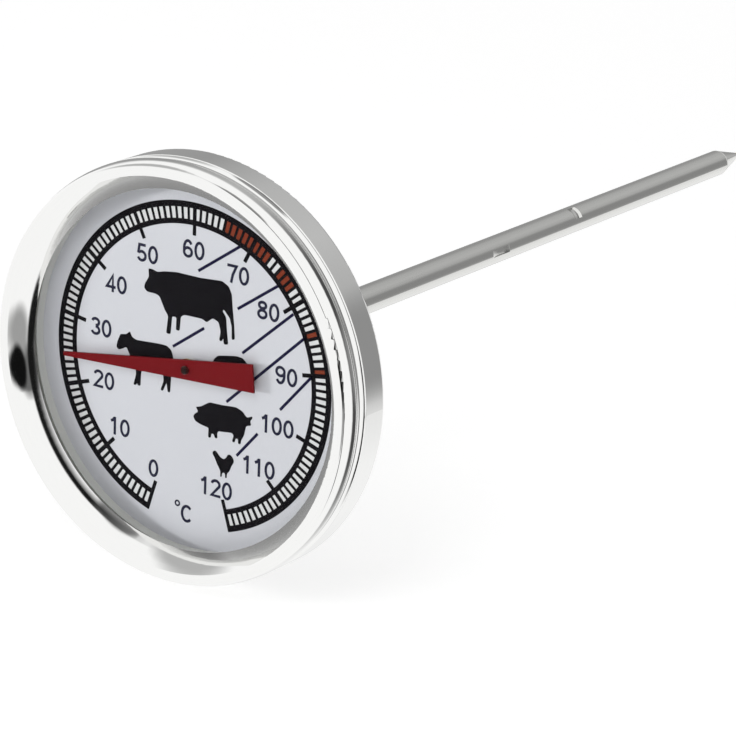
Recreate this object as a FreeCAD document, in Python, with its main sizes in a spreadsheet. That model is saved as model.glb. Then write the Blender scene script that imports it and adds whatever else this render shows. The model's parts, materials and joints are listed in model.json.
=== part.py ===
import FreeCAD, Part
import math
import os
import re

import Sketcher

# A dial meat thermometer. The dial faces -Y with twelve o'clock at +Z, and the stem points along +Y.
# The origin is on the stem's axis, where the bare stem leaves the bush. All lengths are in millimetres
# and all angles in degrees.

SIZES = {
    # whole object
    "overall_length": 140.0,
    "head_diameter": 52.2,
    "stem_diameter": 3.7,
    # bezel ring: sheet metal, from the lip on the glass round the crown to the curled rear edge
    "bezel_sheet": 0.5,
    "lip_radius": 22.3,
    "lip_slope": 63.0,
    "crown_face_radius": 10.0,
    "crown_radius": 0.9,
    "crown_slope": 43.5,
    "crown_rise": 2.05,
    "side_slope": 20.0,
    "waist_front": 1.45,
    "waist_length": 1.8,
    "waist_depth": 0.35,
    "waist_round": 0.3,
    "curl_radius": 0.5,
    "curl_inner_radius": 24.4,
    # stack under the glass
    "stack_radius": 25.2,
    "lens_thickness": 0.7,
    "lens_bevel": 0.15,
    "lens_seal_thickness": 0.4,
    "lens_seal_bore": 23.8,
    "spacer_height": 1.3,
    "spacer_bore": 22.9,
    "dial_thickness": 0.4,
    "dial_radius": 25.1,
    "dial_hole_radius": 1.0,
    "notch_width": 1.6,
    "notch_radius": 24.0,
    "support_thickness": 0.9,
    "support_hole_radius": 1.8,
    "window_inner_radius": 8.0,
    "window_outer_radius": 19.0,
    "window_half_angle": 38.0,
    "case_seal_thickness": 0.5,
    "case_seal_bore": 23.9,
    # case back: pressed dish
    "case_sheet": 0.5,
    "rim_radius": 25.3,
    "dish_bend": 2.3,
    "dish_angle": 60.0,
    "floor_radius": 19.4,
    # bush, washer and nut
    "collar_length": 0.9,
    "collar_radius": 2.9,
    "flange_thickness": 1.1,
    "flange_flats": 8.0,
    "washer_thickness": 0.4,
    "washer_radius": 4.6,
    "neck_radius": 2.75,
    "neck_clearance": 0.1,
    "neck_past_nut": 0.4,
    "nut_flats": 8.0,
    "nut_thickness": 1.5,
    "bearing_bore_depth": 1.2,
    # stem tube and tip
    "tube_wall": 0.4,
    "taper_rear_radius": 1.78,
    "taper_front_radius": 1.68,
    "mouth_margin": 0.05,
    "mouth_depth": 0.12,
    "tube_end_round": 0.25,
    "cone_length": 6.4,
    "cone_base_radius": 1.72,
    "point_radius": 0.3,
    "plug_length": 3.2,
    "crimp_depth": 0.2,
    "crimp_margin": 0.1,
    # spindle train
    "spindle_radius": 0.5,
    "running_clearance": 0.04,
    "end_float": 0.1,
    "bearing_body_radius": 1.3,
    "bearing_flange_radius": 2.0,
    "bearing_flange_thickness": 0.3,
    "bearing_length": 1.0,
    "guide_length": 2.0,
    "guide_bevel": 0.2,
    "middle_guide_place": 59.0,
    "lower_guide_place": 79.0,
    "spindle_collar_radius": 0.95,
    "spindle_collar_length": 0.6,
    "coil_collar_length": 5.4,
    "coil_start": 84.0,
    "coil_length": 28.0,
    "coil_pitch": 1.6,
    "coil_radius": 1.05,
    "strip_width": 0.9,
    "strip_thickness": 0.15,
    "coil_seat_radius": 0.97,
    "anchor_nose_length": 2.5,
    "anchor_plug_length": 4.0,
    "pivot_depth": 5.3,
    # pointer
    "hub_radius": 0.9,
    "hub_gap": 0.3,
    "hub_flange_radius": 1.3,
    "hub_flange_thickness": 0.25,
    "pointer_height": 0.95,
    "pointer_thickness": 0.25,
    "pointer_reach": 18.8,
    "pointer_tail": 10.0,
    "tip_width": 0.5,
    "tail_width": 3.5,
    "spindle_above_dial": 1.6,
    "scale_start": 198.0,
    "scale_step": 2.7,
    "reading": 24.5,
}

# Depths along Y of the faces of the stack, from the case back forward to the crown, then the stem's point.
FLANGE_REAR = "(-collar_length)"
FLANGE_FRONT = f"({FLANGE_REAR} - flange_thickness)"
FLOOR_REAR = f"({FLANGE_FRONT} - washer_thickness)"
FLOOR_FRONT = f"({FLOOR_REAR} - case_sheet)"
NUT_FRONT = f"({FLOOR_FRONT} - nut_thickness)"
NECK_FRONT = f"({NUT_FRONT} - neck_past_nut)"
TUBE_FRONT = f"({NECK_FRONT} + bearing_bore_depth)"
RIM_REAR = f"({FLOOR_REAR} - 2 * dish_bend * (1 - cos(dish_angle)))"
RIM_FRONT = f"({RIM_REAR} - case_sheet)"
CASE_SEAL_FRONT = f"({RIM_FRONT} - case_seal_thickness)"
SUPPORT_FRONT = f"({CASE_SEAL_FRONT} - support_thickness)"
DIAL_FRONT = f"({SUPPORT_FRONT} - dial_thickness)"
SPACER_FRONT = f"({DIAL_FRONT} - spacer_height)"
LENS_REAR = f"({SPACER_FRONT} - lens_seal_thickness)"
LENS_FRONT = f"({LENS_REAR} - lens_thickness)"
CROWN_CENTRE = f"({LENS_FRONT} - crown_rise)"
POINT = f"({CROWN_CENTRE} - crown_radius + overall_length)"
CONE_BASE = f"({POINT} - cone_length)"

HEAD_RADIUS = "(head_diameter / 2)"
STEM_RADIUS = "(stem_diameter / 2)"
TUBE_BORE = f"({STEM_RADIUS} - tube_wall)"
MOUTH_TAPER = f"(taper_rear_radius - taper_front_radius) * mouth_depth / (0 - {TUBE_FRONT})"
MOUTH_RADIUS = f"(taper_rear_radius - {MOUTH_TAPER})"
RUNNING_BORE = "(spindle_radius + running_clearance)"

# Crimps in the stem: name, depth along Y, length, angle round the stem from +X towards +Z, spread.
CRIMPS = (
    ("MiddleCrimp", "middle_guide_place", 5.0, 10.0, 30.0),
    ("LowerCrimp", "lower_guide_place", 2.2, 52.0, 60.0),
)

WINDOWS = 3

doc = FreeCAD.newDocument("MeatThermometer")
sizes = doc.addObject("Spreadsheet::Sheet", "Sizes")
for row, (alias, number) in enumerate(SIZES.items(), start=1):
    sizes.set(f"A{row}", alias)
    sizes.set(f"B{row}", str(number))
    sizes.setAlias(f"B{row}", alias)
doc.recompute()


def bound(expression):
    """The expression with every size written as a cell of the sheet."""
    return re.sub(r"[a-z_]+\b(?!\()", r"Sizes.\g<0>", expression)


def new_body(label):
    body = doc.addObject("PartDesign::Body", label)
    body.Label = label
    return body


def new_sketch(body, name, role, depth=None, turn=0.0):
    """A sketch on one of the body's origin planes, moved along Y to a depth or turned about Y."""
    sketch = body.newObject("Sketcher::SketchObject", name)
    plane = next(item for item in body.Origin.OriginFeatures if item.Role == role)
    sketch.AttachmentSupport = [(plane, "")]
    sketch.MapMode = "FlatFace"
    if depth is not None:
        sketch.setExpression("AttachmentOffset.Base.z", bound(f"-{depth}"))
    if turn:
        sketch.AttachmentOffset = FreeCAD.Placement(
            FreeCAD.Vector(), FreeCAD.Rotation(FreeCAD.Vector(0, 1, 0), turn)
        )
    return sketch


def tie(sketch, kind, target, expression):
    """A dimension of the sketch, held to an expression."""
    number = float(sketch.evalExpression(bound(expression)))
    index = sketch.addConstraint(Sketcher.Constraint(kind, *target, number))
    sketch.setExpression(f"Constraints[{index}]", bound(expression))


def trace(sketch, corners):
    """A closed outline. A corner is (x, y), or (x, y, radius, side) where an arc leads to it.

    The arc stands off its chord to the left of the way round for side +1, to the right for -1.
    """
    places = [
        FreeCAD.Vector(*(float(sketch.evalExpression(bound(text))) for text in corner[:2]), 0)
        for corner in corners
    ]
    joints = []
    for number, corner in enumerate(corners):
        start, finish = places[number - 1], places[number]
        if len(corner) == 2:
            index = sketch.addGeometry(Part.LineSegment(start, finish))
            joints.append((index, 1, 2))
            continue
        radius = float(sketch.evalExpression(bound(corner[2])))
        side = corner[3]
        chord = finish - start
        to_centre = math.sqrt(radius**2 - (chord.Length / 2) ** 2)
        left = FreeCAD.Vector(-chord.y, chord.x, 0).normalize()
        centre = (start + finish) / 2 - left * side * to_centre
        # A sketch's arc runs anticlockwise, so one that stands to the left is drawn from its finish.
        first, last = (finish, start) if side > 0 else (start, finish)
        span = [math.atan2(end.y - centre.y, end.x - centre.x) for end in (first, last)]
        index = sketch.addGeometry(
            Part.ArcOfCircle(Part.Circle(centre, FreeCAD.Vector(0, 0, 1), radius), *span)
        )
        joints.append((index, 2, 1) if side > 0 else (index, 1, 2))
    for number, (index, _, last) in enumerate(joints):
        following, first, _ = joints[(number + 1) % len(joints)]
        sketch.addConstraint(Sketcher.Constraint("Coincident", index, last, following, first))
        x, y = corners[number][:2]
        if x == "0":
            sketch.addConstraint(Sketcher.Constraint("PointOnObject", index, last, -2))
        else:
            tie(sketch, "DistanceX", (-1, 1, index, last), x)
        tie(sketch, "DistanceY", (-1, 1, index, last), y)
        if len(corners[number]) > 2:
            tie(sketch, "Radius", (index,), corners[number][2])


def circle(sketch, radius):
    """A circle about the sketch's origin."""
    number = float(sketch.evalExpression(bound(radius)))
    index = sketch.addGeometry(Part.Circle(FreeCAD.Vector(), FreeCAD.Vector(0, 0, 1), number))
    sketch.addConstraint(Sketcher.Constraint("Coincident", index, 3, -1, 1))
    tie(sketch, "Radius", (index,), radius)


def revolve(body, name, corners):
    """Turns an outline of (radius, depth) corners about the Y axis."""
    sketch = new_sketch(body, name + "Outline", "XY_Plane")
    trace(sketch, corners)
    turned = body.newObject("PartDesign::Revolution", name)
    turned.Profile = sketch
    turned.ReferenceAxis = (sketch, ["V_Axis"])
    turned.Angle = 360
    sketch.Visibility = False
    return turned


def pad(body, name, sketch, length):
    """Thickens a sketch on the XZ plane towards the front."""
    feature = body.newObject("PartDesign::Pad", name)
    feature.Profile = sketch
    feature.setExpression("Length", bound(length))
    return feature


def cut_through(body, name, sketch):
    """Cuts a sketch on the XZ plane through the whole piece, both ways."""
    doc.recompute()
    before = body.Shape.Volume
    feature = body.newObject("PartDesign::Pocket", name)
    feature.Profile = sketch
    feature.Type = "ThroughAll"
    feature.Midplane = True
    doc.recompute()
    if body.Shape.Volume >= before:
        raise RuntimeError(f"{name} cuts nothing")
    return feature


def round_circles(body, name, places, radius):
    """Rounds the circular edges of a turned piece that lie at the given (radius, depth) places."""
    doc.recompute()
    base = body.Tip
    wanted = [[float(body.evalExpression(bound(text))) for text in place] for place in places]
    edges = []
    for number, edge in enumerate(base.Shape.Edges, start=1):
        if not edge.isClosed():
            continue
        here = (edge.Curve.Radius, edge.Curve.Center.y)
        if any(math.dist(here, place) < 1e-4 for place in wanted):
            edges.append(f"Edge{number}")
    if len(edges) != len(places):
        raise RuntimeError(f"{name} finds {len(edges)} of {len(places)} edges")
    feature = body.newObject("PartDesign::Fillet", name)
    feature.Base = (base, edges)
    feature.setExpression("Radius", bound(radius))
    return feature


def turned_piece(label, corners):
    body = new_body(label)
    revolve(body, label + "_turned", corners)
    return body


def ring(label, inner, outer, front, rear):
    """A flat ring between two radii and two depths."""
    return turned_piece(label, [(inner, rear), (outer, rear), (outer, front), (inner, front)])


def hexagon(flats):
    """The six corners of a hexagon, with two flats facing up and down."""
    across = f"({flats} / sqrt(3))"
    return [(f"{across} * cos({turn})", f"{across} * sin({turn})") for turn in range(30, 390, 60)]


def build_bezel_ring():
    """One pressed ring of even sheet: lip, crown, waist, skirt and the edge curled over the case back."""
    waist_arc = "((waist_length^2 / 4 + waist_depth^2) / (2 * waist_depth))"
    inner_half_chord = f"sqrt(({waist_arc} + bezel_sheet)^2 - ({waist_arc} - waist_depth + bezel_sheet)^2)"
    side_arc = "(crown_radius + waist_front / sin(side_slope))"
    crown_axis = f"({HEAD_RADIUS} - crown_radius - ({side_arc} - crown_radius) * (1 - cos(side_slope)))"
    inner_crown = "(crown_radius - bezel_sheet)"
    wall_inside = f"({HEAD_RADIUS} - bezel_sheet)"
    waist_top = f"({CROWN_CENTRE} + waist_front)"
    waist_middle = f"({waist_top} + waist_length / 2)"
    waist_rear = f"({waist_top} + waist_length)"
    skirt_rear = f"({RIM_REAR} + bezel_sheet)"
    body = turned_piece(
        "bezel_ring",
        [
            ("lip_radius + bezel_sheet / sin(lip_slope)", LENS_FRONT),
            ("lip_radius", LENS_FRONT),
            (
                f"{crown_axis} - crown_radius * sin(crown_slope)",
                f"{CROWN_CENTRE} - crown_radius * cos(crown_slope)",
                "crown_face_radius",
                -1,
            ),
            (
                f"{crown_axis} + crown_radius * cos(side_slope)",
                f"{CROWN_CENTRE} - crown_radius * sin(side_slope)",
                "crown_radius",
                -1,
            ),
            (HEAD_RADIUS, waist_top, side_arc, -1),
            (HEAD_RADIUS, waist_rear, waist_arc, 1),
            (HEAD_RADIUS, f"{skirt_rear} - curl_radius"),
            (f"{HEAD_RADIUS} - curl_radius", skirt_rear, "curl_radius", -1),
            ("curl_inner_radius", skirt_rear),
            ("curl_inner_radius", RIM_REAR),
            (wall_inside, RIM_REAR),
            (wall_inside, f"{waist_middle} + {inner_half_chord}"),
            (wall_inside, f"{waist_middle} - {inner_half_chord}", f"{waist_arc} + bezel_sheet", -1),
            (
                f"{crown_axis} + {inner_crown} * cos(side_slope)",
                f"{CROWN_CENTRE} - {inner_crown} * sin(side_slope)",
                f"{side_arc} - bezel_sheet",
                1,
            ),
            (
                f"{crown_axis} - {inner_crown} * sin(crown_slope)",
                f"{CROWN_CENTRE} - {inner_crown} * cos(crown_slope)",
                inner_crown,
                1,
            ),
        ],
    )
    round_circles(body, "WaistRounds", [(HEAD_RADIUS, waist_top), (HEAD_RADIUS, waist_rear)], "waist_round")


def build_case_back():
    """A dish of even sheet: flat rim, S-shaped wall of two equal bends, flat floor with a hole."""
    outer_bend = "(dish_bend - case_sheet)"
    hole = "(neck_radius + neck_clearance)"
    turned_piece(
        "case_back",
        [
            (hole, FLOOR_REAR),
            (hole, FLOOR_FRONT),
            ("floor_radius", FLOOR_FRONT),
            (
                f"floor_radius + {outer_bend} * sin(dish_angle)",
                f"{FLOOR_FRONT} - {outer_bend} * (1 - cos(dish_angle))",
                outer_bend,
                1,
            ),
            (
                "floor_radius + 2 * dish_bend * sin(dish_angle)",
                RIM_FRONT,
                "dish_bend + case_sheet",
                -1,
            ),
            ("rim_radius", RIM_FRONT),
            ("rim_radius", RIM_REAR),
            ("floor_radius + 2 * dish_bend * sin(dish_angle)", RIM_REAR),
            (
                "floor_radius + dish_bend * sin(dish_angle)",
                f"{FLOOR_REAR} - dish_bend * (1 - cos(dish_angle))",
                "dish_bend",
                1,
            ),
            ("floor_radius", FLOOR_REAR, "dish_bend", -1),
        ],
    )


def build_dial_support():
    """A stiff disc with a hole for the spindle and a ring of windows that save weight."""
    body = new_body("dial_support")
    disc = new_sketch(body, "SupportDisc", "XZ_Plane", CASE_SEAL_FRONT)
    circle(disc, "stack_radius")
    circle(disc, "support_hole_radius")
    pad(body, "SupportPad", disc, "support_thickness")
    window = new_sketch(body, "Window", "XZ_Plane", CASE_SEAL_FRONT)
    across, along = "sin(window_half_angle)", "cos(window_half_angle)"
    trace(
        window,
        [
            (f"window_outer_radius * {across}", f"window_outer_radius * {along}"),
            (
                f"-window_outer_radius * {across}",
                f"window_outer_radius * {along}",
                "window_outer_radius",
                -1,
            ),
            (f"-window_inner_radius * {across}", f"window_inner_radius * {along}"),
            (
                f"window_inner_radius * {across}",
                f"window_inner_radius * {along}",
                "window_inner_radius",
                1,
            ),
        ],
    )
    pocket = cut_through(body, "WindowPocket", window)
    pattern = body.newObject("PartDesign::PolarPattern", "Windows")
    pattern.Originals = [pocket]
    pattern.Axis = (window, ["N_Axis"])
    pattern.Angle = 360
    pattern.Occurrences = WINDOWS
    body.Tip = pattern


def build_dial_plate():
    """A thin disc with a hole for the spindle and a notch at six o'clock that keeps it from turning."""
    body = new_body("dial_plate")
    disc = new_sketch(body, "DialDisc", "XZ_Plane", SUPPORT_FRONT)
    circle(disc, "dial_radius")
    circle(disc, "dial_hole_radius")
    pad(body, "DialPad", disc, "dial_thickness")
    notch = new_sketch(body, "Notch", "XZ_Plane", SUPPORT_FRONT)
    trace(
        notch,
        [
            ("-notch_width / 2", "-notch_radius"),
            ("-notch_width / 2", "-stack_radius"),
            ("notch_width / 2", "-stack_radius"),
            ("notch_width / 2", "-notch_radius"),
        ],
    )
    cut_through(body, "NotchPocket", notch)


def build_lens():
    """Flat glass with bevelled edges."""
    turned_piece(
        "lens",
        [
            ("0", LENS_FRONT),
            ("stack_radius - lens_bevel", LENS_FRONT),
            ("stack_radius", f"{LENS_FRONT} + lens_bevel"),
            ("stack_radius", f"{LENS_REAR} - lens_bevel"),
            ("stack_radius - lens_bevel", LENS_REAR),
            ("0", LENS_REAR),
        ],
    )


def build_stem_bush():
    """A bush with a neck through the case, a hexagon behind it, a collar, and a stepped bore."""
    body = new_body("stem_bush")
    flange = new_sketch(body, "BushHexagon", "XZ_Plane", FLANGE_REAR)
    trace(flange, hexagon("flange_flats"))
    pad(body, "BushFlange", flange, "flange_thickness")
    revolve(
        body,
        "BushBarrel",
        [
            ("0", "0"),
            ("collar_radius - guide_bevel", "0"),
            ("collar_radius", "-guide_bevel"),
            ("collar_radius", FLANGE_REAR),
            ("neck_radius", FLANGE_FRONT),
            ("neck_radius", f"{NECK_FRONT} + guide_bevel"),
            ("neck_radius - guide_bevel", NECK_FRONT),
            ("0", NECK_FRONT),
        ],
    )
    doc.recompute()
    before = body.Shape.Volume
    outline = new_sketch(body, "BushBore", "XY_Plane")
    trace(
        outline,
        [
            ("0", "0"),
            (f"{STEM_RADIUS} + mouth_margin", "0"),
            (MOUTH_RADIUS, "-mouth_depth"),
            ("taper_front_radius", TUBE_FRONT),
            ("bearing_body_radius", TUBE_FRONT),
            ("bearing_body_radius", NECK_FRONT),
            ("0", NECK_FRONT),
        ],
    )
    bore = body.newObject("PartDesign::Groove", "BushBoreCut")
    bore.Profile = outline
    bore.ReferenceAxis = (outline, ["V_Axis"])
    bore.Angle = 360
    doc.recompute()
    if body.Shape.Volume >= before:
        raise RuntimeError("the bush has no bore")


def build_bush_nut():
    """A thin hexagon nut with a plain bore that stands for its thread."""
    body = new_body("bush_nut")
    outline = new_sketch(body, "NutHexagon", "XZ_Plane", FLOOR_FRONT)
    trace(outline, hexagon("nut_flats"))
    circle(outline, "neck_radius")
    pad(body, "NutPad", outline, "nut_thickness")


def build_stem_tube():
    """A thin tube with a tapered front end for the bush, a rounded rear edge and two crimps."""
    body = new_body("stem_tube")
    revolve(
        body,
        "TubeWall",
        [
            (TUBE_BORE, TUBE_FRONT),
            (TUBE_BORE, CONE_BASE),
            (f"{STEM_RADIUS} - tube_end_round", CONE_BASE),
            (STEM_RADIUS, f"{CONE_BASE} - tube_end_round", "tube_end_round", 1),
            (STEM_RADIUS, "0"),
            ("taper_rear_radius", "0"),
            ("taper_front_radius", TUBE_FRONT),
        ],
    )
    outside = f"({STEM_RADIUS} + crimp_margin)"
    rise = "(crimp_depth + crimp_margin)"
    for name, place, length, angle, spread in CRIMPS:
        doc.recompute()
        before = body.Shape.Volume
        sketch = new_sketch(body, name + "Outline", "XY_Plane", turn=-angle)
        bottom_arc = f"({length**2 / 4} + {rise}^2) / (2 * {rise})"
        trace(
            sketch,
            [
                (outside, f"{place} - {length / 2}"),
                (outside, f"{place} + {length / 2}", bottom_arc, 1),
            ],
        )
        crimp = body.newObject("PartDesign::Groove", name)
        crimp.Profile = sketch
        crimp.ReferenceAxis = (sketch, ["V_Axis"])
        crimp.Midplane = True
        crimp.Angle = spread
        doc.recompute()
        if body.Shape.Volume >= before:
            raise RuntimeError(f"{name} cuts nothing")


def build_stem_tip():
    """A plug that closes the tube, with a long blunt cone behind it."""
    shank_front = f"({CONE_BASE} - plug_length)"
    turned_piece(
        "stem_tip",
        [
            ("0", shank_front),
            (f"{TUBE_BORE} - guide_bevel", shank_front),
            (TUBE_BORE, f"{shank_front} + guide_bevel"),
            (TUBE_BORE, CONE_BASE),
            ("cone_base_radius - guide_bevel", CONE_BASE),
            ("cone_base_radius", f"{CONE_BASE} + guide_bevel", "guide_bevel", -1),
            ("point_radius", f"{POINT} - point_radius"),
            ("0", POINT, "point_radius", 1),
        ],
    )


def build_guide(label, place):
    """A short bush that centres the spindle in the tube, bevelled at both ends."""
    front, rear = f"({place} - guide_length / 2)", f"({place} + guide_length / 2)"
    turned_piece(
        label,
        [
            (RUNNING_BORE, front),
            (f"{TUBE_BORE} - guide_bevel", front),
            (TUBE_BORE, f"{front} + guide_bevel"),
            (TUBE_BORE, f"{rear} - guide_bevel"),
            (f"{TUBE_BORE} - guide_bevel", rear),
            (RUNNING_BORE, rear),
        ],
    )


def build_upper_bearing():
    """A flanged bush in the front of the stem bush; the spindle's collar runs on its flange."""
    turned_piece(
        "upper_bearing",
        [
            (RUNNING_BORE, f"{NECK_FRONT} - bearing_flange_thickness"),
            ("bearing_flange_radius", f"{NECK_FRONT} - bearing_flange_thickness"),
            ("bearing_flange_radius", NECK_FRONT),
            ("bearing_body_radius", NECK_FRONT),
            ("bearing_body_radius", f"{NECK_FRONT} + bearing_length"),
            (RUNNING_BORE, f"{NECK_FRONT} + bearing_length"),
        ],
    )


def build_coil_anchor():
    """A plug in the tube whose nose holds the coil's fixed end and whose blind bore is the lower pivot."""
    nose_rear = "(coil_start + coil_length + 1)"
    nose_front = f"({nose_rear} - anchor_nose_length)"
    plug_rear = f"({nose_rear} + anchor_plug_length)"
    turned_piece(
        "coil_anchor",
        [
            (RUNNING_BORE, nose_front),
            ("coil_seat_radius", nose_front),
            ("coil_seat_radius", nose_rear),
            (TUBE_BORE, nose_rear),
            (TUBE_BORE, plug_rear),
            ("0", plug_rear),
            ("0", f"{nose_front} + pivot_depth"),
            (RUNNING_BORE, f"{nose_front} + pivot_depth"),
        ],
    )


def build_bimetal_coil():
    """A flat strip wound into a helix, its width along the stem."""
    body = new_body("bimetal_coil")
    strip = new_sketch(body, "Strip", "XY_Plane")
    inner, outer = "coil_radius - strip_thickness / 2", "coil_radius + strip_thickness / 2"
    front, rear = "coil_start", "coil_start + strip_width"
    trace(strip, [(inner, front), (outer, front), (outer, rear), (inner, rear)])
    helix = body.newObject("PartDesign::AdditiveHelix", "Winding")
    helix.Profile = strip
    helix.ReferenceAxis = (strip, ["V_Axis"])
    helix.Mode = "pitch-height-angle"
    helix.setExpression("Pitch", bound("coil_pitch"))
    helix.setExpression("Height", bound("coil_length - strip_width"))


def build_spindle():
    """A plain wire from the lower pivot in the anchor to just in front of the pointer."""
    front = f"({DIAL_FRONT} - spindle_above_dial)"
    rear = "(coil_start + coil_length + 1 - anchor_nose_length + pivot_depth - 3 * end_float)"
    bevel = "end_float"
    turned_piece(
        "spindle",
        [
            ("0", front),
            (f"spindle_radius - {bevel}", front),
            ("spindle_radius", f"{front} + {bevel}"),
            ("spindle_radius", f"{rear} - {bevel}"),
            (f"spindle_radius - {bevel}", rear),
            ("0", rear),
        ],
    )


def build_spindle_collars():
    """The collar that rides on the upper bearing, and the one that carries the coil's free end."""
    bearing_front = f"({NECK_FRONT} - bearing_flange_thickness)"
    rear = f"({bearing_front} - end_float / 2)"
    ring("spindle_collar", "spindle_radius", "spindle_collar_radius", f"{rear} - spindle_collar_length", rear)
    front = "(lower_guide_place + guide_length / 2 + end_float)"
    ring("coil_collar", "spindle_radius", "coil_seat_radius", front, f"{front} + coil_collar_length")


def build_pointer_hub():
    """A bush pressed on the spindle, with the flange that the pointer sits on."""
    seat = f"({DIAL_FRONT} - pointer_height)"
    turned_piece(
        "pointer_hub",
        [
            ("spindle_radius", seat),
            ("hub_flange_radius", seat),
            ("hub_flange_radius", f"{seat} + hub_flange_thickness"),
            ("hub_radius", f"{seat} + hub_flange_thickness"),
            ("hub_radius", f"{DIAL_FRONT} - hub_gap"),
            ("spindle_radius", f"{DIAL_FRONT} - hub_gap"),
        ],
    )


def build_pointer():
    """A flat long triangle, drawn pointing up and then turned to its reading."""
    body = new_body("pointer")
    outline = new_sketch(body, "PointerOutline", "XZ_Plane", f"({DIAL_FRONT} - pointer_height)")
    trace(
        outline,
        [
            ("-tail_width / 2", "-pointer_tail"),
            ("tail_width / 2", "-pointer_tail"),
            ("tip_width / 2", "pointer_reach"),
            ("-tip_width / 2", "pointer_reach"),
        ],
    )
    circle(outline, "spindle_radius")
    pad(body, "PointerPad", outline, "pointer_thickness")
    body.Placement = FreeCAD.Placement(FreeCAD.Vector(), FreeCAD.Rotation(FreeCAD.Vector(0, 1, 0), 1))
    body.setExpression("Placement.Rotation.Angle", bound("scale_start + scale_step * reading"))


build_bezel_ring()
build_case_back()
ring("case_seal", "case_seal_bore", "stack_radius", CASE_SEAL_FRONT, RIM_FRONT)
build_dial_support()
build_dial_plate()
ring("spacer_ring", "spacer_bore", "stack_radius", SPACER_FRONT, DIAL_FRONT)
ring("lens_seal", "lens_seal_bore", "stack_radius", LENS_REAR, SPACER_FRONT)
build_lens()
build_stem_bush()
ring("bush_washer", "neck_radius + neck_clearance", "washer_radius", FLOOR_REAR, FLANGE_FRONT)
build_bush_nut()
build_stem_tube()
build_stem_tip()
build_upper_bearing()
build_guide("middle_bearing", "middle_guide_place")
build_guide("lower_bearing", "lower_guide_place")
build_coil_anchor()
build_bimetal_coil()
build_spindle()
build_spindle_collars()
build_pointer_hub()
build_pointer()
doc.recompute()

for item in doc.Objects:
    if "Invalid" in item.State or "Error" in item.State:
        raise RuntimeError(f"{item.Name} did not compute: {item.State}")

os.makedirs("parts", exist_ok=True)
for body in doc.findObjects("PartDesign::Body"):
    if body.Shape.isNull() or not body.Shape.isValid() or len(body.Shape.Solids) != 1:
        raise RuntimeError(f"{body.Label} is not one sound solid")
    body.Shape.exportStep(f"parts/{body.Label}.step")
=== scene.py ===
"""Looks of the dial meat thermometer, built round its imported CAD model.

The frame is in metres: the dial faces -Y, twelve o'clock is +Z and the stem runs along +Y.
Lengths below are in millimetres and angles in degrees. Points on the dial are (x, z) from its centre.
"""

import json
import math

import bmesh
import bpy
from mathutils import Matrix, Quaternion, Vector


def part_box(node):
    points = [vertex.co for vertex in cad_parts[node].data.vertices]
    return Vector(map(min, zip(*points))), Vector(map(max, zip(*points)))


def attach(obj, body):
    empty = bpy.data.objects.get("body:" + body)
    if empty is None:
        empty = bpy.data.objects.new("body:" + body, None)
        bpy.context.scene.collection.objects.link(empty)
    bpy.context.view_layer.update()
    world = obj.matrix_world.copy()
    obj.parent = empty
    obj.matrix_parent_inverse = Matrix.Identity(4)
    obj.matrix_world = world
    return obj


MM = 0.001

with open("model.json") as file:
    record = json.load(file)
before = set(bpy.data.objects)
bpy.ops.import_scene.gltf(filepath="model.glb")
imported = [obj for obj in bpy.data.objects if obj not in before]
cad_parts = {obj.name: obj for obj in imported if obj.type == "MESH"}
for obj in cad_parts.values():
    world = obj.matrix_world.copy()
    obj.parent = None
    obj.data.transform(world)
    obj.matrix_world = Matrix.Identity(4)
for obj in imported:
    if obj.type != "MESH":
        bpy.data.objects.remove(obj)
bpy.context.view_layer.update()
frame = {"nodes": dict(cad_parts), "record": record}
nodes = frame["nodes"]
scene = bpy.context.scene

# Places taken from the CAD model.
DIAL_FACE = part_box("dial_plate")[0].y / MM
HEAD_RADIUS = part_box("bezel_ring")[1].z / MM

# ---------------------------------------------------------------- print on the dial

# The scale turns clockwise from 0 to 120 degrees Celsius and leaves a gap at six o'clock.
SCALE_LAST = 120
SCALE_START = 198.0
SCALE_STEP = 2.7
RING_OUTER = 20.45
CELL_OUTER = 19.68
CELL_INNER = 18.28
RING_INNER = 17.62
MAJOR_TICK_END = 16.4
MAJOR_TICK_WIDTH = 0.5
BAR_WIDTH = 0.37
FIVE_BAR_WIDTH = 0.42
TEN_BAR_WIDTH = 0.56
END_BAR_WIDTH = 0.5
RED_SPANS = ((65, 73), (75, 78), (84, 85), (89, 90))

# The bands under the cells reach a little way under the black ring.
BAND_OVERLAP = 0.1
# Heights of the print above the dial's enamel.
CELL_HEIGHT = 0.012
INK_HEIGHT = 0.02
# Points of the print closer than this are one point.
WELD_DISTANCE = 1e-5

NUMERAL_HEIGHT = 2.28
NUMERAL_PEN = 0.36
NUMERAL_PITCH = 1.7
NUMERAL_PLACES = {
    "0": (-5.45, -14.05),
    "10": (-10.8, -9.95),
    "20": (-13.3, -4.45),
    "30": (-13.85, 2.15),
    "40": (-11.6, 8.1),
    "50": (-6.95, 12.8),
    "60": (-0.05, 14.65),
    "70": (6.55, 12.85),
    "80": (11.05, 9.3),
    "90": (13.9, 1.9),
    "100": (12.75, -4.55),
    "110": (10.2, -10.3),
    "120": (4.0, -14.4),
}
UNIT_PLACE = (-0.25, -18.7)
DEGREE_PLACE = (-1.7, -17.65)
DEGREE_OUTER = 0.42
DEGREE_INNER = 0.2

LINE_WIDTH = 0.36
GUIDE_LINES = (
    ((0.7, 12.2), (6.85, 16.45)),
    ((-2.85, 2.05), (1.75, 5.3)),
    ((6.6, 8.7), (12.45, 12.75)),
    ((7.45, 3.4), (14.65, 9.7)),
    ((5.3, -3.15), (16.5, 7.25)),
    ((7.0, -9.55), (10.0, -6.1)),
    ((13.15, -2.4), (17.65, 2.75)),
)


def clock_point(radius, clock):
    """A point on the dial, clockwise from twelve o'clock."""
    angle = math.radians(clock)
    return Vector((radius * math.sin(angle), radius * math.cos(angle)))


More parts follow.
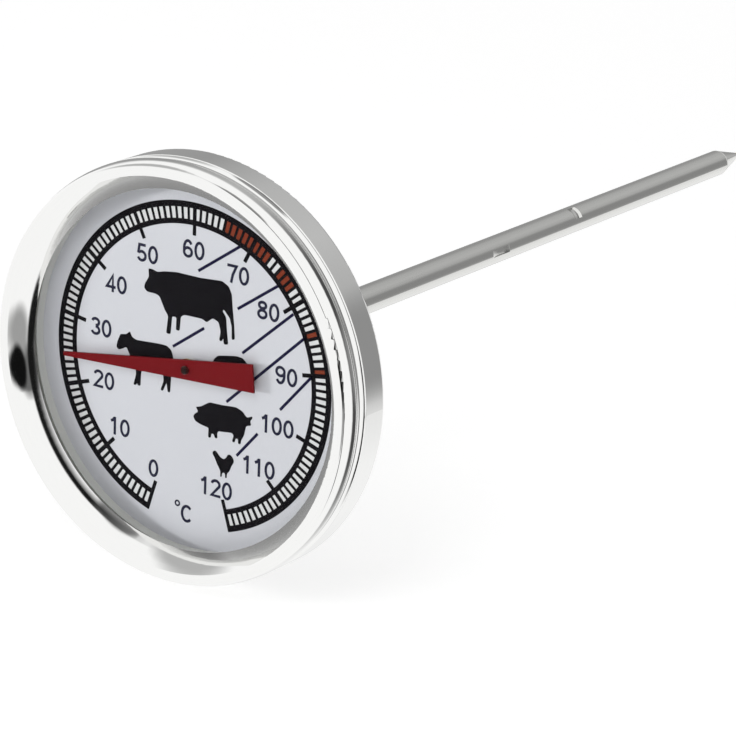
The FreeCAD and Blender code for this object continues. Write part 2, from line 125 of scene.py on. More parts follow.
def reading_angle(value):
    return SCALE_START + SCALE_STEP * value


def flat_mesh(loops, thickness):
    """Flat filled shape from closed loops; loops inside loops are holes."""
    data = bpy.data.curves.new("flat", "CURVE")
    data.dimensions = "2D"
    data.fill_mode = "BOTH"
    data.extrude = thickness / 2
    for loop in loops:
        spline = data.splines.new("POLY")
        spline.points.add(len(loop) - 1)
        for point, place in zip(spline.points, loop):
            point.co = (place[0], place[1], 0, 1)
        spline.use_cyclic_u = True
    shape = bpy.data.objects.new("flat", data)
    scene.collection.objects.link(shape)
    bpy.context.view_layer.update()
    graph = bpy.context.evaluated_depsgraph_get()
    mesh = bpy.data.meshes.new_from_object(shape.evaluated_get(graph), depsgraph=graph)
    bpy.data.objects.remove(shape)
    bpy.data.curves.remove(data)
    return mesh


def lay_mesh(name, mesh, material, height=INK_HEIGHT):
    """Welds a flat shape and lays it on the dial, its back on the enamel, to ride on the head."""
    bm = bmesh.new()
    bm.from_mesh(mesh)
    bmesh.ops.remove_doubles(bm, verts=bm.verts, dist=WELD_DISTANCE)
    # The shape's x, y and z turn into the frame's x, z and minus y.
    onto_dial = Matrix(
        (
            (MM, 0, 0, 0),
            (0, 0, -MM, (DIAL_FACE - height / 2) * MM),
            (0, MM, 0, 0),
            (0, 0, 0, 1),
        )
    )
    bmesh.ops.transform(bm, matrix=onto_dial, verts=bm.verts)
    bmesh.ops.recalc_face_normals(bm, faces=bm.faces)
    bm.to_mesh(mesh)
    bm.free()
    mesh.name = name
    mesh.materials.clear()
    mesh.materials.append(material)
    piece = bpy.data.objects.new(name, mesh)
    scene.collection.objects.link(piece)
    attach(piece, "head")


def lay_loops(name, loops, material, height=INK_HEIGHT):
    lay_mesh(name, flat_mesh(loops, height), material, height)


# ---------------------------------------------------------------- shapes of the scale

# Angle between the points of a band, then points round the ring and between two long ticks.
SECTOR_STEP = 0.9
OUTLINE_STEPS = 360
TICK_GAP_STEPS = 30


def sector(inner, outer, start, end):
    """Closed loop round a piece of a ring, angles on the clock."""
    count = max(2, math.ceil((end - start) / SECTOR_STEP) + 1)
    angles = [start + (end - start) * i / (count - 1) for i in range(count)]
    return [clock_point(outer, a) for a in angles] + [
        clock_point(inner, a) for a in reversed(angles)
    ]


def bar_width(value):
    if value in (0, SCALE_LAST):
        return END_BAR_WIDTH
    if value % 10 == 0:
        return TEN_BAR_WIDTH
    if value % 5 == 0:
        return FIVE_BAR_WIDTH
    return BAR_WIDTH


def scale_outline():
    """Outside edge of the black ring, with the long ticks standing in from it."""
    half_end = math.degrees(END_BAR_WIDTH / 2 / CELL_INNER)
    half_tick = math.degrees(MAJOR_TICK_WIDTH / 2 / RING_INNER)
    start = reading_angle(0) - half_end
    end = reading_angle(SCALE_LAST) + half_end
    step = (end - start) / OUTLINE_STEPS
    loop = [clock_point(RING_OUTER, start + step * i) for i in range(OUTLINE_STEPS + 1)]
    for value in range(SCALE_LAST, -1, -10):
        middle = reading_angle(value)
        along = clock_point(1, middle)
        across = Vector((along.y, -along.x)) * MAJOR_TICK_WIDTH / 2
        high = middle + (half_end if value == SCALE_LAST else half_tick)
        low = middle - (half_tick if value else half_end)
        loop.append(clock_point(RING_INNER, high))
        loop.append(along * MAJOR_TICK_END + across)
        loop.append(along * MAJOR_TICK_END - across)
        loop.append(clock_point(RING_INNER, low))
        if value:
            next_tick = reading_angle(value - 10) + half_tick
            step = (next_tick - low) / TICK_GAP_STEPS
            loop.extend(clock_point(RING_INNER, low + step * i) for i in range(1, TICK_GAP_STEPS))
    return loop


def cell_holes():
    """One opening in the black ring for each degree."""
    loops = []
    for value in range(SCALE_LAST):
        left = reading_angle(value)
        right = reading_angle(value + 1)
        loop = []
        for radius, order in ((CELL_OUTER, 1), (CELL_INNER, -1)):
            low = left + math.degrees(bar_width(value) / 2 / radius)
            high = right - math.degrees(bar_width(value + 1) / 2 / radius)
            ends = [low, (low + high) / 2, high][::order]
            loop.extend(clock_point(radius, a) for a in ends)
        loops.append(loop)
    return loops


# ---------------------------------------------------------------- outlines and pen strokes

CORNER_STEPS = 4
# A stroke's corner sticks out at most this many times its half width.
MITRE_LIMIT = 2.0


def rounded(points, radius):
    """Closed outline with each corner turned into a small curve."""
    loop = []
    count = len(points)
    for i in range(count):
        before = Vector(points[i - 1])
        here = Vector(points[i])
        after = Vector(points[(i + 1) % count])
        reach = min(radius, (before - here).length / 2, (after - here).length / 2)
        start = here + (before - here).normalized() * reach
        end = here + (after - here).normalized() * reach
        for step in range(CORNER_STEPS + 1):
            t = step / CORNER_STEPS
            loop.append(start * (1 - t) ** 2 + here * 2 * t * (1 - t) + end * t**2)
    return loop


def stroke(points, pen):
    """Closed outline of a pen stroke with square ends along an open path."""
    left, right = [], []
    last = len(points) - 1
    for i, place in enumerate(points):
        here = Vector(place)
        into = (here - Vector(points[i - 1])).normalized() if i else None
        out = (Vector(points[i + 1]) - here).normalized() if i < last else None
        if into is None:
            into = out
        if out is None:
            out = into
        along = (into + out).normalized()
        side = Vector((-along.y, along.x))
        widen = 1 / max(1 / MITRE_LIMIT, side.dot(Vector((-into.y, into.x))))
        left.append(here + side * pen / 2 * widen)
        right.append(here - side * pen / 2 * widen)
    return left + right[::-1]


def closed_stroke(points, pen):
    """Outer and inner edge of a pen stroke along a closed path."""
    outer, inner = [], []
    count = len(points)
    for i, place in enumerate(points):
        along = Vector(points[(i + 1) % count]) - Vector(points[i - 1])
        side = Vector((along.y, -along.x)).normalized() * pen / 2
        outer.append(Vector(place) + side)
        inner.append(Vector(place) - side)
    return [outer, inner]


def arc_points(centre, reach_x, reach_z, start, end, count=24):
    """Points on an ellipse, angles anticlockwise from three o'clock."""
    points = []
    for i in range(count + 1):
        angle = math.radians(start + (end - start) * i / count)
        points.append(
            (centre[0] + reach_x * math.cos(angle), centre[1] + reach_z * math.sin(angle))
        )
    return points


# ---------------------------------------------------------------- numerals
# Paths of the middle of the pen, in a box one unit high and GLYPH_WIDTH wide.

GLYPH_WIDTH = 0.66
EDGE = NUMERAL_PEN / NUMERAL_HEIGHT / 2
LEFT = EDGE
RIGHT = GLYPH_WIDTH - EDGE
MIDDLE = GLYPH_WIDTH / 2
BOTTOM = EDGE
TOP = 1 - EDGE
BOWL = MIDDLE - EDGE


def bowl(centre_z, reach_z, start, end, reach_x=BOWL):
    return arc_points((MIDDLE, centre_z), reach_x, reach_z, start, end)


def glyph_paths(sign):
    """The sign's pen paths, each with whether it is closed."""
    # Half height of the ring of a 6 or a 9.
    ring = 0.31
    if sign == "0":
        return [(bowl(0.5, 0.5 - EDGE, 0, 360), True)]
    if sign == "1":
        flag = [(0.12, 0.74), (0.26, 0.80), (0.36, 0.93)]
        return [(flag, False), ([(0.39, 0.0), (0.39, 1.0)], False)]
    if sign == "2":
        top = bowl(0.71, 0.29 - EDGE, 170, -25)
        return [(top + [(LEFT, BOTTOM), (RIGHT + EDGE, BOTTOM)], False)]
    if sign == "3":
        upper = arc_points((MIDDLE, 0.735), BOWL * 0.9, 0.265 - EDGE, 165, -90)
        lower = bowl(0.285, 0.285 - EDGE, 90, -165)
        return [(upper, False), (lower, False)]
    if sign == "4":
        return [([(0.47, 0.0), (0.47, TOP), (LEFT, 0.28), (RIGHT + EDGE, 0.28)], False)]
    if sign == "5":
        lower = arc_points((MIDDLE, 0.32), BOWL, 0.32 - EDGE, 128, -160)
        return [([(RIGHT, TOP), (0.17, TOP), (0.11, 0.52)] + lower, False)]
    if sign == "6":
        spine = arc_points((MIDDLE, 0.5), BOWL, 0.5 - EDGE, 35, 195)
        return [(spine, False), (bowl(ring, ring - EDGE, 0, 360), True)]
    if sign == "7":
        return [([(LEFT - EDGE, TOP), (RIGHT, TOP), (0.36, 0.45), (0.26, 0.0)], False)]
    if sign == "8":
        upper = arc_points((MIDDLE, 0.755), BOWL * 0.88, 0.245 - EDGE, 0, 360)
        return [(upper, True), (bowl(0.285, 0.285 - EDGE, 0, 360), True)]
    if sign == "9":
        spine = arc_points((MIDDLE, 0.5), BOWL, 0.5 - EDGE, 215, 375)
        return [(spine, False), (bowl(1 - ring, ring - EDGE, 0, 360), True)]
    # The C of the unit.
    return [(arc_points((MIDDLE, 0.5), BOWL * 1.25, 0.5 - EDGE, 42, 318), False)]


def sign_solids(sign, corner):
    """Meshes of one sign, each a closed flat solid."""
    solids = []
    for path, closed in glyph_paths(sign):
        places = [(corner[0] + x * NUMERAL_HEIGHT, corner[1] + z * NUMERAL_HEIGHT) for x, z in path]
        if closed:
            loops = closed_stroke(places[:-1], NUMERAL_PEN)
        else:
            loops = [stroke(places, NUMERAL_PEN)]
        solids.append(flat_mesh(loops, INK_HEIGHT))
    return solids


def word_solids(word, centre):
    """Solids of the signs of a word, set in a row about the centre."""
    width = (len(word) - 1) * NUMERAL_PITCH + GLYPH_WIDTH * NUMERAL_HEIGHT
    solids = []
    for i, sign in enumerate(word):
        corner = (centre[0] - width / 2 + i * NUMERAL_PITCH, centre[1] - NUMERAL_HEIGHT / 2)
        solids.extend(sign_solids(sign, corner))
    return solids


def degree_sign():
    """A small ring; its circles stop one step short of a full turn, because loops close themselves."""
    loops = [
        arc_points(DEGREE_PLACE, radius, radius, 0, 345, 23) for radius in (DEGREE_OUTER, DEGREE_INNER)
    ]
    return flat_mesh(loops, INK_HEIGHT)


def joined(meshes):
    """One clean solid from overlapping flat solids."""
    bm = bmesh.new()
    for mesh in meshes:
        bm.from_mesh(mesh)
        bpy.data.meshes.remove(mesh)
    bmesh.ops.remove_doubles(bm, verts=bm.verts, dist=WELD_DISTANCE)
    bmesh.ops.recalc_face_normals(bm, faces=bm.faces)
    rough = bpy.data.meshes.new("rough")
    bm.to_mesh(rough)
    bm.free()
    holder = bpy.data.objects.new("rough", rough)
    scene.collection.objects.link(holder)
    # The modifier joins the parts of one mesh only beside a second object, so that one is empty.
    empty_mesh = bpy.data.meshes.new("nothing")
    nothing = bpy.data.objects.new("nothing", empty_mesh)
    scene.collection.objects.link(nothing)
    union = holder.modifiers.new("union", "BOOLEAN")
    union.operation = "UNION"
    union.solver = "EXACT"
    union.use_self = True
    union.object = nothing
    bpy.context.view_layer.update()
    graph = bpy.context.evaluated_depsgraph_get()
    clean = bpy.data.meshes.new_from_object(holder.evaluated_get(graph), depsgraph=graph)
    bpy.data.objects.remove(holder)
    bpy.data.objects.remove(nothing)
    bpy.data.meshes.remove(rough)
    bpy.data.meshes.remove(empty_mesh)
    return clean


# ---------------------------------------------------------------- animal marks
# Plain generic outlines, each animal standing at its place on the dial and facing left.

COW = (
    (-7.35, 8.5), (-7.25, 9.05), (-6.65, 10.0), (-6.75, 11.05), (-6.1, 11.05), (-5.4, 10.85),
    (-4.3, 11.15), (-2.5, 11.4), (1.0, 11.4), (4.2, 11.65), (5.2, 11.2), (5.7, 10.3),
    (5.85, 8.8), (6.15, 6.6), (6.3, 4.85), (5.85, 4.7), (5.8, 6.3), (5.5, 7.3),
    (4.6, 8.2), (4.4, 8.0), (4.95, 7.3), (5.1, 5.8), (5.35, 4.0), (4.7, 3.9),
    (4.6, 4.7), (4.4, 4.2), (4.0, 4.25), (4.2, 5.4), (3.85, 6.5), (3.0, 6.8),
    (2.1, 6.1), (1.4, 6.4), (-1.2, 6.35), (-1.75, 6.0), (-1.9, 4.2), (-2.45, 4.2),
    (-2.4, 5.8), (-3.05, 5.8), (-3.25, 3.5), (-3.9, 3.5), (-3.65, 5.7), (-4.2, 6.4),
    (-5.0, 7.9), (-5.6, 8.1), (-6.9, 8.1),
)
CALF = (
    (-11.45, 0.2), (-11.3, 0.9), (-10.85, 1.95), (-9.95, 2.1), (-9.4, 2.6), (-9.1, 1.95),
    (-8.4, 1.7), (-5.0, 1.95), (-3.8, 1.95), (-3.1, 1.55), (-2.8, 0.8), (-2.7, -0.6),
    (-3.0, -1.5), (-3.15, -3.85), (-3.5, -3.85), (-3.7, -2.7), (-4.25, -3.9), (-4.6, -3.8),
    (-4.15, -2.6), (-4.3, -1.3), (-7.3, -1.4), (-7.6, -2.4), (-7.65, -4.0), (-8.1, -4.0),
    (-8.2, -3.7), (-8.35, -4.05), (-8.75, -4.05), (-8.35, -2.6), (-8.6, -1.3), (-9.2, -0.7),
    (-9.9, 0.5), (-10.4, 0.2), (-11.1, -0.1),
)
LAMB = (
    (2.0, -0.3), (2.15, 0.35), (2.6, 0.85), (2.95, 0.9), (3.3, 1.8), (3.9, 2.35),
    (5.2, 2.6), (6.6, 2.85), (7.5, 2.8), (8.1, 2.35), (8.55, 1.6), (8.6, 0.6),
    (8.3, -0.1), (8.2, -1.0), (7.85, -1.0), (7.8, -0.2), (7.4, -0.2), (7.35, -1.0),
    (7.0, -1.0), (6.9, -0.1), (5.9, -0.3), (5.0, -0.2), (4.7, -1.0), (4.35, -1.0),
    (4.3, -0.1), (3.95, -0.1), (3.9, -1.0), (3.55, -1.0), (3.45, -0.1), (3.1, 0.1),
    (2.8, -0.15), (2.4, -0.55),
)
PIG = (
    (0.4, -6.0), (0.65, -5.65), (1.15, -5.3), (0.75, -4.75), (1.45, -4.6), (2.8, -3.75),
    (4.6, -3.7), (6.7, -3.5), (7.7, -3.8), (8.35, -4.45), (9.2, -4.1), (9.15, -4.45),
    (8.85, -4.75), (9.05, -5.3), (8.3, -5.5), (8.0, -6.8), (7.6, -7.5), (7.55, -8.0),
    (7.15, -8.0), (7.15, -7.4), (6.8, -7.4), (6.65, -8.0), (6.25, -7.9), (6.5, -7.1),
    (6.2, -6.85), (4.2, -7.1), (4.05, -7.4), (4.1, -8.05), (3.7, -8.05), (3.55, -7.6),
    (3.2, -7.6), (3.1, -8.2), (2.7, -8.2), (2.75, -7.0), (1.4, -6.8), (0.7, -6.55),
)
HEN = (
    (3.4, -10.1), (3.5, -9.75), (3.85, -9.6), (4.2, -9.9), (4.6, -10.3), (5.1, -10.45),
    (5.45, -10.2), (5.7, -9.7), (6.1, -9.65), (6.5, -10.0), (6.65, -10.45), (6.25, -11.1),
    (6.0, -11.8), (5.65, -12.1), (5.6, -12.75), (5.4, -12.75), (5.35, -12.15), (4.95, -12.15),
    (4.85, -12.75), (4.65, -12.75), (4.65, -12.0), (4.1, -11.2), (3.75, -10.5),
)
ANIMALS = {"cow": COW, "calf": CALF, "lamb": LAMB, "pig": PIG, "hen": HEN}
ANIMAL_ROUND = 0.22

# ---------------------------------------------------------------- materials


class Nodes:
    """Short way to build a node tree."""

    def __init__(self, name):
        self.material = bpy.data.materials.new(name)
        self.material.use_nodes = True
        self.tree = self.material.node_tree
        self.shader = self.tree.nodes["Principled BSDF"]

    def add(self, kind, inputs=None, **settings):
        node = self.tree.nodes.new(kind)
        for key, value in settings.items():
            setattr(node, key, value)
        for key, value in (inputs or {}).items():
            self.feed(node, key, value)
        return node

    def feed(self, node, key, value):
        socket = node.inputs[key]
        if isinstance(value, bpy.types.NodeSocket):
            self.tree.links.new(value, socket)
        elif isinstance(value, bpy.types.Node):
            self.tree.links.new(value.outputs[0], socket)
        else:
            socket.default_value = value

    def math(self, operation, a, b=0.0, c=0.0):
        return self.add("ShaderNodeMath", {0: a, 1: b, 2: c}, operation=operation).outputs[0]

    def noise(self, vector, scale, detail=4.0, rough=0.55):
        return self.add(
            "ShaderNodeTexNoise",
            {"Vector": vector, "Scale": scale, "Detail": detail, "Roughness": rough},
        ).outputs["Fac"]

    def spread(self, value, low, high):
        """A value from 0 to 1 stretched to run from low to high."""
        return self.add(
            "ShaderNodeMapRange", {"Value": value, "To Min": low, "To Max": high}
        ).outputs[0]

    def blend(self, factor, a, b):
        """A colour mix; the node's colour sockets are its inputs 6 and 7 and its output 2."""
        node = self.add("ShaderNodeMix", data_type="RGBA")
        self.feed(node, 0, factor)
        self.feed(node, 6, a)
        self.feed(node, 7, b)
        return node.outputs[2]

    def bump(self, height, strength, distance):
        return self.add(
            "ShaderNodeBump",
            {"Height": height, "Strength": strength, "Distance": distance},
        ).outputs[0]

    def place(self):
        """Coordinates in millimetres, carried along with a moving piece."""
        coordinates = self.add("ShaderNodeTexCoord").outputs["Object"]
        return self.add(
            "ShaderNodeVectorMath", {0: coordinates, 3: 1 / MM}, operation="SCALE"
        ).outputs[0]

    def turned(self, radial=1.0, along=1.0, round_the_axis=0.6):
        """Coordinates that draw out into rings about the Y axis."""
        split = self.add("ShaderNodeSeparateXYZ", {0: self.place()})
        x, y, z = split.outputs
        radius = self.math(
            "SQRT", self.math("ADD", self.math("MULTIPLY", x, x), self.math("MULTIPLY", z, z))
        )
        angle = self.math("ARCTAN2", x, z)
        return self.add(
            "ShaderNodeCombineXYZ",
            {
                0: self.math("MULTIPLY", radius, radial),
                1: self.math("MULTIPLY", y, along),
                2: self.math("MULTIPLY", angle, round_the_axis),
            },
        ).outputs[0]


def rgb(red, green, blue):
    return (red, green, blue, 1.0)


METAL_LINE_DEPTH = 0.02
ENAMEL_SKIN_DEPTH = 0.01


def metal(name, colour, dark, rough, grain="round", bump=0.02, lines=14.0, metallic=1.0):
    """Metal with fine lines left by polishing, which run round the axis or along it."""
    n = Nodes(name)
    if grain == "round":
        vector = n.turned()
    else:
        vector = n.turned(radial=6.0, along=0.05, round_the_axis=6.0)
    fine = n.noise(vector, lines, 6.0, 0.7)
    cloud = n.noise(n.place(), 0.35, 3.0)
    lined = n.spread(fine, rough * 0.7, rough * 1.2)
    clouded = n.spread(cloud, -rough * 0.2, rough * 0.2)
    n.feed(n.shader, "Metallic", metallic)
    n.feed(n.shader, "Base Color", n.blend(fine, dark, colour))
    n.feed(n.shader, "Roughness", n.math("ADD", lined, clouded))
    n.feed(n.shader, "Normal", n.bump(fine, bump, METAL_LINE_DEPTH * MM))
    return n.material


def enamel(name, colour, second, rough, grain, specular=0.5):
    """Paint or plastic with a faint mottle and a fine skin."""
    n = Nodes(name)
    mottle = n.noise(n.place(), grain, 5.0, 0.6)
    fine = n.noise(n.place(), grain * 9, 3.0)
    n.feed(n.shader, "Base Color", n.blend(mottle, colour, second))
    n.feed(n.shader, "Roughness", n.spread(fine, rough * 0.85, rough * 1.15))
    n.feed(n.shader, "Normal", n.bump(fine, 0.05, ENAMEL_SKIN_DEPTH * MM))
    n.feed(n.shader, "Specular IOR Level", specular)
    return n.material


PANE_INDEX = 1.1
PANE_INDEX_IN_MIRRORS = 3.1


def glass(name):
    """Thin clear pane that mirrors a little at a slant, and more where polished metal shows it."""
    n = Nodes(name)
    n.tree.nodes.remove(n.shader)
    smear = n.noise(n.place(), 0.25, 3.0)
    clear = n.add("ShaderNodeBsdfTransparent", {"Color": rgb(0.985, 0.99, 0.985)})
    gloss = n.add(
        "ShaderNodeBsdfGlossy",
        {"Color": rgb(1, 1, 1), "Roughness": n.spread(smear, 0.0, 0.04)},
    )
    mirrored = n.add("ShaderNodeLightPath").outputs["Is Glossy Ray"]
    index = n.math("MULTIPLY_ADD", mirrored, PANE_INDEX_IN_MIRRORS - PANE_INDEX, PANE_INDEX)
    slant = n.add("ShaderNodeFresnel", {"IOR": index})
    mix = n.add("ShaderNodeMixShader")
    n.feed(mix, 0, slant)
    n.feed(mix, 1, clear)
    n.feed(mix, 2, gloss)
    n.tree.links.new(mix.outputs[0], n.tree.nodes["Material Output"].inputs[0])
    return n.material


MATERIALS = {
    "polished_steel": metal("PolishedSteel", rgb(0.90, 0.90, 0.89), rgb(0.84, 0.84, 0.83), 0.05),
    "case_steel": metal(
        "CaseSteel", rgb(0.72, 0.72, 0.71), rgb(0.62, 0.62, 0.61), 0.22, bump=0.1, lines=20.0
    ),
    "stem_steel": metal(
        "StemSteel", rgb(0.80, 0.80, 0.78), rgb(0.70, 0.70, 0.68), 0.14, grain="along", bump=0.08
    ),
    "support_steel": metal(
        "SupportSteel", rgb(0.55, 0.56, 0.57), rgb(0.45, 0.46, 0.47), 0.35, bump=0.1
    ),
    "spindle_steel": metal(
        "SpindleSteel", rgb(0.40, 0.36, 0.32), rgb(0.28, 0.25, 0.22), 0.3, bump=0.1
    ),
    "spacer_metal": metal(
        "SpacerMetal", rgb(0.90, 0.90, 0.86), rgb(0.82, 0.82, 0.78), 0.5, bump=0.1, metallic=0.15
    ),
    "bearing_brass": metal(
        "BearingBrass", rgb(0.62, 0.44, 0.20), rgb(0.50, 0.34, 0.14), 0.28, bump=0.1
    ),
    "bimetal_strip": metal(
        "BimetalStrip", rgb(0.60, 0.52, 0.40), rgb(0.48, 0.41, 0.31), 0.35, bump=0.1
    ),
    "dial_enamel": enamel(
        "DialEnamel", rgb(0.73, 0.73, 0.78), rgb(0.64, 0.64, 0.70), 0.42, 3.5, specular=0.3
    ),
    "lens_glass": glass("LensGlass"),
    "seal_rubber": enamel("SealRubber", rgb(0.62, 0.62, 0.60), rgb(0.56, 0.56, 0.54), 0.6, 2.0),
    "washer_plastic": enamel("WasherPlastic", rgb(0.80, 0.80, 0.78), rgb(0.74, 0.74, 0.72), 0.5, 2.0),
    "pointer_red": enamel(
        "PointerRed", rgb(0.20, 0.007, 0.011), rgb(0.17, 0.006, 0.009), 0.38, 2.5, specular=0.08
    ),
}
CELL_WHITE = enamel("CellWhite", rgb(0.78, 0.78, 0.80), rgb(0.74, 0.74, 0.76), 0.45, 3.0)
CELL_RED = enamel(
    "CellRed", rgb(0.26, 0.045, 0.018), rgb(0.22, 0.036, 0.015), 0.45, 3.0, specular=0.15
)
BLACK_INK = enamel(
    "BlackInk", rgb(0.006, 0.005, 0.007), rgb(0.010, 0.009, 0.012), 0.5, 4.0, specular=0.08
)
BLUE_INK = enamel(
    "BlueBlackInk", rgb(0.012, 0.010, 0.040), rgb(0.018, 0.016, 0.055), 0.5, 4.0, specular=0.08
)
NUMERAL_INK = enamel(
    "NumeralInk", rgb(0.022, 0.022, 0.045), rgb(0.03, 0.03, 0.06), 0.5, 4.0, specular=0.08
)


def dress_cad():
    """Gives each CAD node the material of its slot."""
    for part in frame["record"]["subparts"]:
        mesh = nodes[part["node"]].data
        mesh.materials.clear()
        mesh.materials.append(MATERIALS[part["material_slot"]])


# ---------------------------------------------------------------- lay the print


def lay_scale():
    """White and red bands of cells, and over them the black ring with an opening for each cell."""
    white_spans = []
    cursor = 0
    for low, high in RED_SPANS + ((SCALE_LAST, SCALE_LAST),):
        white_spans.append((cursor, low))
        cursor = high
    inner = CELL_INNER - BAND_OVERLAP
    outer = CELL_OUTER + BAND_OVERLAP
    for name, spans, material in (
        ("scale_white_cells", white_spans, CELL_WHITE),
        ("scale_red_cells", RED_SPANS, CELL_RED),
    ):
        loops = [
            sector(inner, outer, reading_angle(low), reading_angle(high)) for low, high in spans
        ]
        lay_loops(name, loops, material, CELL_HEIGHT)
    lay_loops("scale_ring", [scale_outline()] + cell_holes(), BLACK_INK)


def lay_words():
    """The numbers along the scale, and the unit."""
    for number, centre in NUMERAL_PLACES.items():
        lay_mesh("number_" + number, joined(word_solids(number, centre)), NUMERAL_INK)
    lay_mesh("unit_mark", joined(word_solids("C", UNIT_PLACE) + [degree_sign()]), NUMERAL_INK)


def lay_marks():
    """The animals, and the lines that lead from them to their readings."""
    for i, ends in enumerate(GUIDE_LINES):
        lay_loops(f"guide_line_{i + 1}", [stroke(ends, LINE_WIDTH)], BLUE_INK)
    for name, points in ANIMALS.items():
        lay_loops(name + "_mark", [rounded(points, ANIMAL_ROUND)], BLACK_INK)


# ---------------------------------------------------------------- floor

FLOOR_DROP = 1.0
FLOOR_SIZE = 6000.0
FLOOR_GLOW = 0.42


def lay_floor():
    """Pale floor just below the head; the polished metal does not mirror it."""
    height = -(HEAD_RADIUS + FLOOR_DROP) * MM
    half = FLOOR_SIZE / 2 * MM
    corners = [(x, y, height) for x, y in ((-half, -half), (half, -half), (half, half), (-half, half))]
    mesh = bpy.data.meshes.new("floor")
    mesh.from_pydata(corners, [], [(0, 1, 2, 3)])
    floor = bpy.data.objects.new("floor", mesh)
    scene.collection.objects.link(floor)
    paint = enamel("FloorPaint", rgb(0.95, 0.95, 0.95), rgb(0.94, 0.94, 0.94), 0.8, 0.01)
    shader = paint.node_tree.nodes["Principled BSDF"]
    shader.inputs["Emission Color"].default_value = rgb(1, 1, 1)
    shader.inputs["Emission Strength"].default_value = FLOOR_GLOW
    mesh.materials.append(paint)
    floor.visible_glossy = False


# ---------------------------------------------------------------- studio
# What polished metal mirrors: a white tent with a few soft dark panels. Directions are given as
# longitude from straight in front of the dial towards three o'clock, and as height.

TENT_WHITE = 1.05
FILL_STRENGTH = 0.58
BACKDROP_WHITE = 1.0
DARK_PANELS = (
    # longitude, height, radius of the full tone, width of the soft edge, tone
    (69, -2, 9, 8, 0.15),
    (63, -20, 7, 9, 0.38),
    (59, -4, 8, 4, 0.006),
    (-88, 46, 10, 14, 0.5),
    (145, 2, 8, 14, 0.3),
    (-5, 88, 11, 6, 0.33),
)
# A dark seam runs over the tent on a great circle about this direction. It is sharp on the side of
# this direction, and fades out towards nine o'clock and towards the ground.
SEAM_AXIS = (-14.6, -11.0)
SEAM_ANGLE = 90.0
SEAM_HALF_WIDTH = 2.0
SEAM_NEAR_SOFT = 2.5
SEAM_FAR_SOFT = 6.0
SEAM_TONE = 0.01
SEAM_EAST_FADE = (-0.6, 0.3)
SEAM_UP_FADE = (-0.9, -0.7)
# Tones of the tent behind the dial, by the angle on the clock from six o'clock.
REAR_TONES = (
    (0.0, 1.00),
    (52.0, 0.85),
    (66.0, 0.36),
    (120.0, 0.34),
    (160.0, 0.50),
    (200.0, 0.56),
    (240.0, 0.46),
    (252.0, 0.34),
    (259.0, 0.11),
    (265.0, 0.34),
    (274.0, 0.72),
    (300.0, 0.88),
    (330.0, 1.00),
    (360.0, 1.00),
)
REAR_START = 180.0
# They begin where a direction's share along the stem passes this value, with a seam on the east side.
REAR_EDGE = 0.66
REAR_EDGE_SOFT = 0.1
REAR_SEAM_HALF_WIDTH = 0.03
REAR_SEAM_EAST_FADE = (-0.3, 0.6)
REAR_SEAM_TONE = 0.07


def tent_direction(longitude, height):
    across = math.radians(longitude)
    up = math.radians(height)
    return (
        math.cos(up) * math.sin(across),
        -math.cos(up) * math.cos(across),
        math.sin(up),
    )


def cosine(degrees):
    return math.cos(math.radians(degrees))


class StudioNodes(Nodes):
    """The world's node tree, with the direction of each ray and its parts."""

    def __init__(self, name):
        self.world = bpy.data.worlds.new(name)
        self.world.use_nodes = True
        self.tree = self.world.node_tree
        self.shader = self.tree.nodes["Background"]
        self.direction = self.add("ShaderNodeTexCoord").outputs["Generated"]
        split = self.add("ShaderNodeSeparateXYZ", {0: self.direction})
        self.east, self.behind, self.up = split.outputs

    def towards(self, axis):
        """Cosine of the angle between the ray and a direction."""
        return self.add(
            "ShaderNodeVectorMath", {0: self.direction, 1: axis}, operation="DOT_PRODUCT"
        ).outputs["Value"]

    def ramp(self, value, low, high):
        """Smooth step from 0 at low to 1 at high."""
        return self.add(
            "ShaderNodeMapRange",
            {"Value": value, "From Min": low, "From Max": high},
            interpolation_type="SMOOTHSTEP",
        ).outputs[0]

    def lerp(self, weight, a, b):
        """A mix of numbers; the node's number sockets are its inputs 2 and 3."""
        node = self.add("ShaderNodeMix", data_type="FLOAT")
        self.feed(node, 0, weight)
        self.feed(node, 2, a)
        self.feed(node, 3, b)
        return node.outputs[0]


def rear_ramp(w):
    """Tone by the ray's angle round the stem."""
    clock = w.math("ARCTAN2", w.east, w.up)
    turns = w.math("DIVIDE", clock, 2 * math.pi)
    ramp = w.add("ShaderNodeValToRGB", {0: w.math("FRACT", w.math("ADD", turns, 1 + REAR_START / 360))})
    ramp.color_ramp.interpolation = "LINEAR"
    stops = ramp.color_ramp.elements
    stops.remove(stops[1])
    for angle, tone in REAR_TONES:
        stop = stops.new(angle / 360) if angle else stops[0]
        stop.color = (tone, tone, tone, 1)
    return ramp.outputs[0]


def add_rear(w, tone):
    tone = w.lerp(w.ramp(w.behind, REAR_EDGE - REAR_EDGE_SOFT, REAR_EDGE), tone, rear_ramp(w))
    beside_edge = w.math("ABSOLUTE", w.math("SUBTRACT", w.behind, REAR_EDGE))
    seam = w.math(
        "MULTIPLY",
        w.ramp(beside_edge, REAR_EDGE_SOFT, REAR_SEAM_HALF_WIDTH),
        w.ramp(w.east, *REAR_SEAM_EAST_FADE),
    )
    return w.lerp(seam, tone, REAR_SEAM_TONE)


def add_panels(w, tone):
    for longitude, height, radius, soft, panel_tone in DARK_PANELS:
        near = w.towards(tent_direction(longitude, height))
        weight = w.ramp(near, cosine(radius + soft), cosine(radius))
        tone = w.lerp(weight, tone, panel_tone)
    return tone


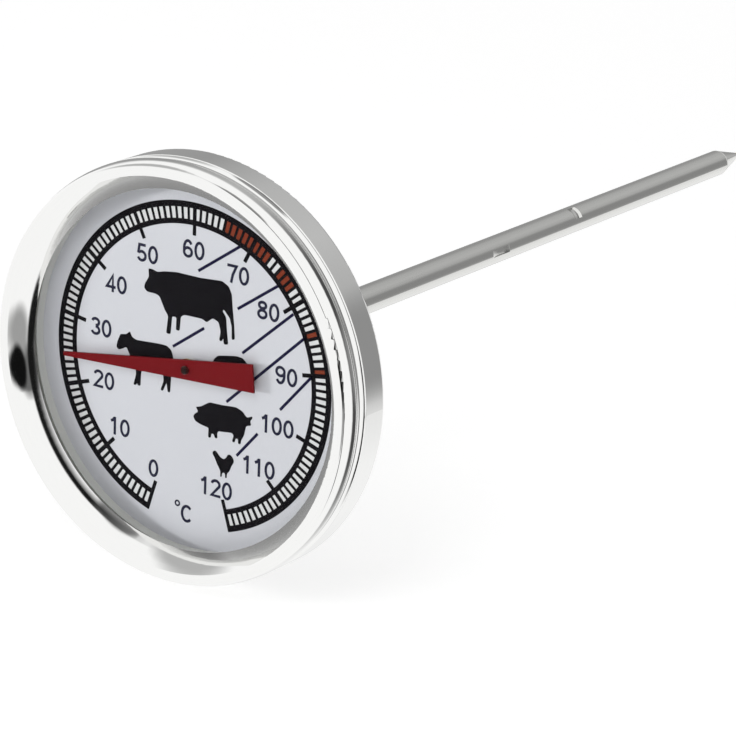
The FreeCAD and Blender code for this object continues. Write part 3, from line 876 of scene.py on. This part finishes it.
def add_seam(w, tone):
    from_axis = w.math("ARCCOSINE", w.towards(tent_direction(*SEAM_AXIS)))
    beyond = w.math("SUBTRACT", from_axis, math.radians(SEAM_ANGLE))
    half_width = math.radians(SEAM_HALF_WIDTH)
    seam = w.math(
        "MULTIPLY",
        w.ramp(beyond, -half_width - math.radians(SEAM_NEAR_SOFT), -half_width),
        w.ramp(beyond, half_width + math.radians(SEAM_FAR_SOFT), half_width),
    )
    sides = w.math("MULTIPLY", w.ramp(w.east, *SEAM_EAST_FADE), w.ramp(w.up, *SEAM_UP_FADE))
    return w.lerp(w.math("MULTIPLY", seam, sides), tone, SEAM_TONE)


def build_studio():
    """Mirrored rays see the tent, the camera a white backdrop, and everything else an even fill."""
    w = StudioNodes("studio")
    tone = add_seam(w, add_panels(w, add_rear(w, TENT_WHITE)))
    path = w.add("ShaderNodeLightPath")
    strength = w.lerp(path.outputs["Is Glossy Ray"], FILL_STRENGTH, tone)
    strength = w.lerp(path.outputs["Is Camera Ray"], strength, BACKDROP_WHITE)
    w.feed(w.shader, "Strength", strength)
    w.feed(w.shader, "Color", rgb(1, 1, 1))
    scene.world = w.world


LIGHTS = (
    # name, place, width, power in watts
    ("key", (-500.0, -370.0, -30.0), 160.0, 3.6),
    ("top_box", (50.0, -150.0, 140.0), 90.0, 0.06),
)


def add_lights():
    """Round soft lights, all aimed at the frame's origin, that polished metal does not mirror."""
    for name, place, width, power in LIGHTS:
        data = bpy.data.lights.new(name, "AREA")
        data.shape = "DISK"
        data.size = width * MM
        data.energy = power
        light = bpy.data.objects.new(name, data)
        light.location = Vector(place) * MM
        light.rotation_mode = "QUATERNION"
        light.rotation_quaternion = (-light.location).to_track_quat("-Z", "Y")
        light.visible_glossy = False
        scene.collection.objects.link(light)


# ---------------------------------------------------------------- camera

# The camera looks down on the dial from its right: azimuth from straight in front of the dial,
# elevation above the level, roll about its own line of sight; the lens as on a standard frame.
CAMERA_PLACE = (239.2, -324.5, 131.0)
CAMERA_AZIMUTH = 33.957
CAMERA_ELEVATION = 18.16
CAMERA_ROLL = 2.186
CAMERA_LENS = 171.2
# Nearest and furthest distance that the camera sees.
CAMERA_REACH = (10.0, 20000.0)


def add_camera():
    azimuth = math.radians(CAMERA_AZIMUTH)
    elevation = math.radians(CAMERA_ELEVATION)
    look = Vector(
        (
            -math.sin(azimuth) * math.cos(elevation),
            math.cos(azimuth) * math.cos(elevation),
            -math.sin(elevation),
        )
    )
    roll = Quaternion((0, 0, 1), math.radians(CAMERA_ROLL))
    data = bpy.data.cameras.new("camera")
    data.lens = CAMERA_LENS
    data.clip_start, data.clip_end = (reach * MM for reach in CAMERA_REACH)
    camera = bpy.data.objects.new("camera", data)
    camera.location = Vector(CAMERA_PLACE) * MM
    camera.rotation_mode = "QUATERNION"
    camera.rotation_quaternion = look.to_track_quat("-Z", "Y") @ roll
    scene.collection.objects.link(camera)
    scene.camera = camera


dress_cad()
lay_scale()
lay_words()
lay_marks()
lay_floor()
build_studio()
add_lights()
add_camera()
scene.view_settings.view_transform = "Standard"
